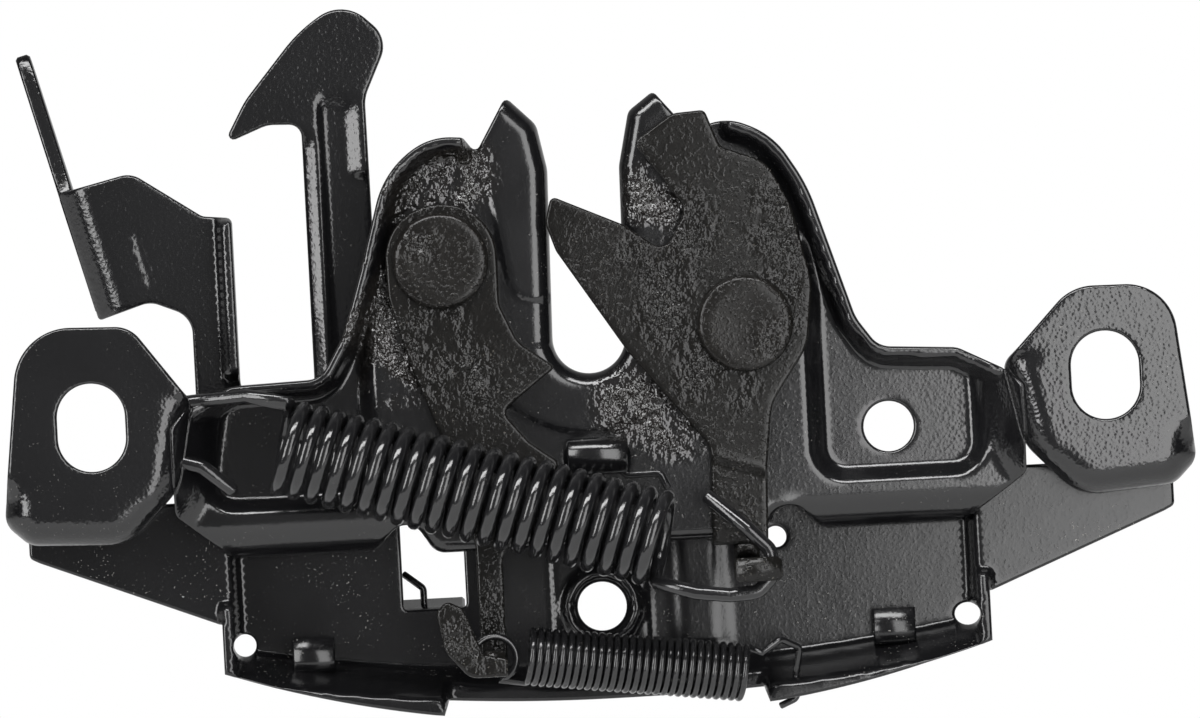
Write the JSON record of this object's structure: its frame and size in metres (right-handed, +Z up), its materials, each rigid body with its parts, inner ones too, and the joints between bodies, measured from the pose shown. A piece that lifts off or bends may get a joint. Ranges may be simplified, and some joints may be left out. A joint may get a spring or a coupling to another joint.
{
  "type": "bonnet latch",
  "caption": "Car bonnet latch: a stamped steel plate with slotted ears carries a sprung claw, a cable-pulled pawl and a hand-pulled safety hook.",
  "frame": {"origin": "centre of the centre bolt hole, at the back face of the rear plate", "axes": "+X along the latch to the right as seen from the front, +Z up towards the striker opening, -Y out of the front where the springs are"},
  "size_m": [0.1902, 0.0589, 0.1152],
  "materials": {
    "front_plate_paint": "satin black dip coat with orange peel",
    "rear_plate_paint": "satin black dip coat, dusty",
    "greased_lever": "black coat under a film of grease",
    "safety_paint": "satin black dip coat with orange peel",
    "greased_rivet": "dull black rivet under grease",
    "main_wire": "glossy black coated spring wire",
    "thin_wire": "black oiled spring wire"
  },
  "bodies": {
    "base": {"front_plate": "front_plate_paint", "rear_plate": "rear_plate_paint", "claw_rivet": "greased_rivet", "pawl_rivet": "greased_rivet", "safety_rivet": "greased_rivet"},
    "claw": {"claw": "greased_lever"},
    "pawl": {"pawl": "greased_lever"},
    "safety_lever": {"safety_lever": "safety_paint"},
    "main_spring": {"main_spring": "main_wire"},
    "pawl_spring": {"pawl_spring": "thin_wire"},
    "safety_spring": {"safety_spring": "thin_wire"}
  },
  "joints": [
    {"name": "claw_turn", "type": "hinge", "parent": "base", "child": "claw", "pos_m": [0.025, -0.0169, 0.044], "axis": [0, -1, 0], "range_deg": [0, 52], "stiffness_Nm_per_rad": 0.8, "springref_deg": -45.84, "deforming": ["main_spring", "pawl_spring"]},
    {"name": "pawl_turn", "type": "hinge", "parent": "base", "child": "pawl", "pos_m": [-0.0228, -0.0169, 0.0564], "axis": [0, 1, 0], "range_deg": [0, 18]},
    {"name": "safety_turn", "type": "hinge", "parent": "base", "child": "safety_lever", "pos_m": [-0.046, 0.00155, 0.021], "axis": [0, 1, 0], "range_deg": [0, 14], "stiffness_Nm_per_rad": 0.3, "springref_deg": -45.84, "deforming": ["safety_spring"]},
    {"name": "main_spring_stretch", "type": "slide", "parent": "base", "child": "main_spring", "axis": [0.9157, 0, 0.4019], "range_m": [0, 0.0345]},
    {"name": "pawl_spring_stretch", "type": "slide", "parent": "base", "child": "pawl_spring", "axis": [-0.9974, 0, 0.0716], "range_m": [0, 0.02]},
    {"name": "safety_spring_stretch", "type": "slide", "parent": "base", "child": "safety_spring", "axis": [-0.8484, 0, -0.5293], "range_m": [0, 0.0072]}
  ],
  "couplings": [
    {"joint": "pawl_turn", "follows": "claw_turn", "ratio": 0.34},
    {"joint": "main_spring_stretch", "follows": "claw_turn", "m_per_rad": 0.03735},
    {"joint": "pawl_spring_stretch", "follows": "claw_turn", "m_per_rad": 0.02154},
    {"joint": "safety_spring_stretch", "follows": "safety_turn", "m_per_rad": 0.02824}
  ]
}
